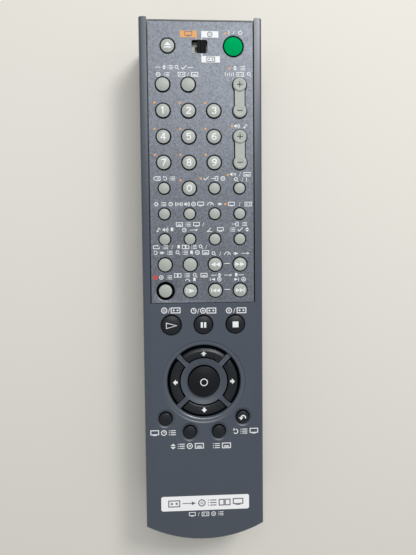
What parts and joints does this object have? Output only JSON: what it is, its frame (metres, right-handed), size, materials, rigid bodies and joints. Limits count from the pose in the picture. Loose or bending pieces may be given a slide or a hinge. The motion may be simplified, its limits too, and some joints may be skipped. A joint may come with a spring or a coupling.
{
  "type": "remote control",
  "caption": "Long hand-held remote control with round push keys, two rockers, a mode switch, a round navigation pad and a sliding battery cover.",
  "frame": {"origin": "on the table, under the middle of the case as it lies on its back", "axes": "+Z out of the key face, +Y along the case towards the signal window, +X to the right as the keys are read"},
  "size_m": [0.0532, 0.231, 0.0292],
  "materials": {
    "case_plastic": "fine satin texture, dark blue-grey",
    "panel_plastic": "metallic grey paint with a fine speckle",
    "grey_key_plastic": "smooth light grey",
    "green_key_plastic": "smooth green",
    "dark_key_plastic": "near black, softly glossy",
    "window_plastic": "smoky, glossy",
    "pale_plastic": "smooth",
    "board": "solder mask",
    "mat_rubber": "silicone rubber",
    "led_plastic": "tinted clear resin",
    "cell_wrap": "plain printed sleeve on the can",
    "contact_steel": "nickel plated",
    "screw_steel": "zinc plated"
  },
  "bodies": {
    "case": {"upper_case": "case_plastic", "key_panel": "panel_plastic", "lower_case": "case_plastic", "ir_window": "window_plastic", "circuit_board": "board", "rubber_mat": "mat_rubber", "ir_leds": "led_plastic", "switch_housing": "pale_plastic", "batteries": "cell_wrap", "battery_contacts": "contact_steel", "case_screws": "screw_steel"},
    "battery_cover": {"battery_cover": "case_plastic"},
    "mode_switch": {"mode_switch": "dark_key_plastic"},
    "eject_key": {"eject_key": "grey_key_plastic"},
    "power_key": {"power_key": "green_key_plastic"},
    "select_a_key": {"select_a_key": "grey_key_plastic"},
    "select_b_key": {"select_b_key": "grey_key_plastic"},
    "digit_1_key": {"digit_1_key": "grey_key_plastic"},
    "digit_2_key": {"digit_2_key": "grey_key_plastic"},
    "digit_3_key": {"digit_3_key": "grey_key_plastic"},
    "digit_4_key": {"digit_4_key": "grey_key_plastic"},
    "digit_5_key": {"digit_5_key": "grey_key_plastic"},
    "digit_6_key": {"digit_6_key": "grey_key_plastic"},
    "digit_7_key": {"digit_7_key": "grey_key_plastic"},
    "digit_8_key": {"digit_8_key": "grey_key_plastic"},
    "digit_9_key": {"digit_9_key": "grey_key_plastic"},
    "clear_key": {"clear_key": "grey_key_plastic"},
    "digit_0_key": {"digit_0_key": "grey_key_plastic"},
    "enter_key": {"enter_key": "grey_key_plastic"},
    "mute_key": {"mute_key": "grey_key_plastic"},
    "setup_key": {"setup_key": "grey_key_plastic"},
    "surround_key": {"surround_key": "grey_key_plastic"},
    "speed_key": {"speed_key": "grey_key_plastic"},
    "input_a_key": {"input_a_key": "grey_key_plastic"},
    "audio_key": {"audio_key": "grey_key_plastic"},
    "subtitle_key": {"subtitle_key": "grey_key_plastic"},
    "angle_key": {"angle_key": "grey_key_plastic"},
    "input_b_key": {"input_b_key": "grey_key_plastic"},
    "repeat_key": {"repeat_key": "grey_key_plastic"},
    "bookmark_key": {"bookmark_key": "grey_key_plastic"},
    "scan_back_key": {"scan_back_key": "grey_key_plastic"},
    "scan_forward_key": {"scan_forward_key": "grey_key_plastic"},
    "record_key": {"record_key": "grey_key_plastic"},
    "step_key": {"step_key": "grey_key_plastic"},
    "previous_key": {"previous_key": "grey_key_plastic"},
    "next_key": {"next_key": "grey_key_plastic"},
    "play_key": {"play_key": "dark_key_plastic"},
    "pause_key": {"pause_key": "dark_key_plastic"},
    "stop_key": {"stop_key": "dark_key_plastic"},
    "centre_key": {"centre_key": "dark_key_plastic"},
    "display_key": {"display_key": "dark_key_plastic"},
    "top_menu_key": {"top_menu_key": "dark_key_plastic"},
    "menu_key": {"menu_key": "dark_key_plastic"},
    "return_key": {"return_key": "dark_key_plastic"},
    "up_key": {"up_key": "dark_key_plastic"},
    "left_key": {"left_key": "dark_key_plastic"},
    "down_key": {"down_key": "dark_key_plastic"},
    "right_key": {"right_key": "dark_key_plastic"},
    "channel_rocker": {"channel_rocker": "grey_key_plastic"},
    "volume_rocker": {"volume_rocker": "grey_key_plastic"}
  },
  "joints": [
    {"name": "battery_cover_slide", "type": "slide", "parent": "case", "child": "battery_cover", "axis": [0, -1, 0], "range_m": [0, 0.066]},
    {"name": "mode_switch_slide", "type": "slide", "parent": "case", "child": "mode_switch", "axis": [1, 0, 0], "range_m": [-0.0018, 0]},
    {"name": "eject_key_press", "type": "slide", "parent": "case", "child": "eject_key", "axis": [0, 0, -1], "range_m": [0, 0.0008], "stiffness_N_per_m": 300},
    {"name": "power_key_press", "type": "slide", "parent": "case", "child": "power_key", "axis": [0, 0, -1], "range_m": [0, 0.0008], "stiffness_N_per_m": 300},
    {"name": "select_a_key_press", "type": "slide", "parent": "case", "child": "select_a_key", "axis": [0, 0, -1], "range_m": [0, 0.0008], "stiffness_N_per_m": 300},
    {"name": "select_b_key_press", "type": "slide", "parent": "case", "child": "select_b_key", "axis": [0, 0, -1], "range_m": [0, 0.0008], "stiffness_N_per_m": 300},
    {"name": "digit_1_key_press", "type": "slide", "parent": "case", "child": "digit_1_key", "axis": [0, 0, -1], "range_m": [0, 0.0008], "stiffness_N_per_m": 300},
    {"name": "digit_2_key_press", "type": "slide", "parent": "case", "child": "digit_2_key", "axis": [0, 0, -1], "range_m": [0, 0.0008], "stiffness_N_per_m": 300},
    {"name": "digit_3_key_press", "type": "slide", "parent": "case", "child": "digit_3_key", "axis": [0, 0, -1], "range_m": [0, 0.0008], "stiffness_N_per_m": 300},
    {"name": "digit_4_key_press", "type": "slide", "parent": "case", "child": "digit_4_key", "axis": [0, 0, -1], "range_m": [0, 0.0008], "stiffness_N_per_m": 300},
    {"name": "digit_5_key_press", "type": "slide", "parent": "case", "child": "digit_5_key", "axis": [0, 0, -1], "range_m": [0, 0.0008], "stiffness_N_per_m": 300},
    {"name": "digit_6_key_press", "type": "slide", "parent": "case", "child": "digit_6_key", "axis": [0, 0, -1], "range_m": [0, 0.0008], "stiffness_N_per_m": 300},
    {"name": "digit_7_key_press", "type": "slide", "parent": "case", "child": "digit_7_key", "axis": [0, 0, -1], "range_m": [0, 0.0008], "stiffness_N_per_m": 300},
    {"name": "digit_8_key_press", "type": "slide", "parent": "case", "child": "digit_8_key", "axis": [0, 0, -1], "range_m": [0, 0.0008], "stiffness_N_per_m": 300},
    {"name": "digit_9_key_press", "type": "slide", "parent": "case", "child": "digit_9_key", "axis": [0, 0, -1], "range_m": [0, 0.0008], "stiffness_N_per_m": 300},
    {"name": "clear_key_press", "type": "slide", "parent": "case", "child": "clear_key", "axis": [0, 0, -1], "range_m": [0, 0.0008], "stiffness_N_per_m": 300},
    {"name": "digit_0_key_press", "type": "slide", "parent": "case", "child": "digit_0_key", "axis": [0, 0, -1], "range_m": [0, 0.0008], "stiffness_N_per_m": 300},
    {"name": "enter_key_press", "type": "slide", "parent": "case", "child": "enter_key", "axis": [0, 0, -1], "range_m": [0, 0.0008], "stiffness_N_per_m": 300},
    {"name": "mute_key_press", "type": "slide", "parent": "case", "child": "mute_key", "axis": [0, 0, -1], "range_m": [0, 0.0008], "stiffness_N_per_m": 300},
    {"name": "setup_key_press", "type": "slide", "parent": "case", "child": "setup_key", "axis": [0, 0, -1], "range_m": [0, 0.0008], "stiffness_N_per_m": 300},
    {"name": "surround_key_press", "type": "slide", "parent": "case", "child": "surround_key", "axis": [0, 0, -1], "range_m": [0, 0.0008], "stiffness_N_per_m": 300},
    {"name": "speed_key_press", "type": "slide", "parent": "case", "child": "speed_key", "axis": [0, 0, -1], "range_m": [0, 0.0008], "stiffness_N_per_m": 300},
    {"name": "input_a_key_press", "type": "slide", "parent": "case", "child": "input_a_key", "axis": [0, 0, -1], "range_m": [0, 0.0008], "stiffness_N_per_m": 300},
    {"name": "audio_key_press", "type": "slide", "parent": "case", "child": "audio_key", "axis": [0, 0, -1], "range_m": [0, 0.0008], "stiffness_N_per_m": 300},
    {"name": "subtitle_key_press", "type": "slide", "parent": "case", "child": "subtitle_key", "axis": [0, 0, -1], "range_m": [0, 0.0008], "stiffness_N_per_m": 300},
    {"name": "angle_key_press", "type": "slide", "parent": "case", "child": "angle_key", "axis": [0, 0, -1], "range_m": [0, 0.0008], "stiffness_N_per_m": 300},
    {"name": "input_b_key_press", "type": "slide", "parent": "case", "child": "input_b_key", "axis": [0, 0, -1], "range_m": [0, 0.0008], "stiffness_N_per_m": 300},
    {"name": "repeat_key_press", "type": "slide", "parent": "case", "child": "repeat_key", "axis": [0, 0, -1], "range_m": [0, 0.0008], "stiffness_N_per_m": 300},
    {"name": "bookmark_key_press", "type": "slide", "parent": "case", "child": "bookmark_key", "axis": [0, 0, -1], "range_m": [0, 0.0008], "stiffness_N_per_m": 300},
    {"name": "scan_back_key_press", "type": "slide", "parent": "case", "child": "scan_back_key", "axis": [0, 0, -1], "range_m": [0, 0.0008], "stiffness_N_per_m": 300},
    {"name": "scan_forward_key_press", "type": "slide", "parent": "case", "child": "scan_forward_key", "axis": [0, 0, -1], "range_m": [0, 0.0008], "stiffness_N_per_m": 300},
    {"name": "record_key_press", "type": "slide", "parent": "case", "child": "record_key", "axis": [0, 0, -1], "range_m": [0, 0.0008], "stiffness_N_per_m": 300},
    {"name": "step_key_press", "type": "slide", "parent": "case", "child": "step_key", "axis": [0, 0, -1], "range_m": [0, 0.0008], "stiffness_N_per_m": 300},
    {"name": "previous_key_press", "type": "slide", "parent": "case", "child": "previous_key", "axis": [0, 0, -1], "range_m": [0, 0.0008], "stiffness_N_per_m": 300},
    {"name": "next_key_press", "type": "slide", "parent": "case", "child": "next_key", "axis": [0, 0, -1], "range_m": [0, 0.0008], "stiffness_N_per_m": 300},
    {"name": "play_key_press", "type": "slide", "parent": "case", "child": "play_key", "axis": [0, 0, -1], "range_m": [0, 0.0008], "stiffness_N_per_m": 300},
    {"name": "pause_key_press", "type": "slide", "parent": "case", "child": "pause_key", "axis": [0, 0, -1], "range_m": [0, 0.0008], "stiffness_N_per_m": 300},
    {"name": "stop_key_press", "type": "slide", "parent": "case", "child": "stop_key", "axis": [0, 0, -1], "range_m": [0, 0.0008], "stiffness_N_per_m": 300},
    {"name": "centre_key_press", "type": "slide", "parent": "case", "child": "centre_key", "axis": [0, 0, -1], "range_m": [0, 0.0008], "stiffness_N_per_m": 300},
    {"name": "display_key_press", "type": "slide", "parent": "case", "child": "display_key", "axis": [0, 0, -1], "range_m": [0, 0.0008], "stiffness_N_per_m": 300},
    {"name": "top_menu_key_press", "type": "slide", "parent": "case", "child": "top_menu_key", "axis": [0, 0, -1], "range_m": [0, 0.0008], "stiffness_N_per_m": 300},
    {"name": "menu_key_press", "type": "slide", "parent": "case", "child": "menu_key", "axis": [0, 0, -1], "range_m": [0, 0.0008], "stiffness_N_per_m": 300},
    {"name": "return_key_press", "type": "slide", "parent": "case", "child": "return_key", "axis": [0, 0, -1], "range_m": [0, 0.0008], "stiffness_N_per_m": 300},
    {"name": "up_key_press", "type": "slide", "parent": "case", "child": "up_key", "axis": [0, 0, -1], "range_m": [0, 0.0008], "stiffness_N_per_m": 300},
    {"name": "left_key_press", "type": "slide", "parent": "case", "child": "left_key", "axis": [0, 0, -1], "range_m": [0, 0.0008], "stiffness_N_per_m": 300},
    {"name": "down_key_press", "type": "slide", "parent": "case", "child": "down_key", "axis": [0, 0, -1], "range_m": [0, 0.0008], "stiffness_N_per_m": 300},
    {"name": "right_key_press", "type": "slide", "parent": "case", "child": "right_key", "axis": [0, 0, -1], "range_m": [0, 0.0008], "stiffness_N_per_m": 300},
    {"name": "channel_rocker_tilt", "type": "hinge", "parent": "case", "child": "channel_rocker", "pos_m": [0.0168, 0.0816, 0.0258], "axis": [1, 0, 0], "range_deg": [-6, 6], "stiffness_Nm_per_rad": 0.03},
    {"name": "volume_rocker_tilt", "type": "hinge", "parent": "case", "child": "volume_rocker", "pos_m": [0.0168, 0.0594, 0.0258], "axis": [1, 0, 0], "range_deg": [-6, 6], "stiffness_Nm_per_rad": 0.03}
  ]
}
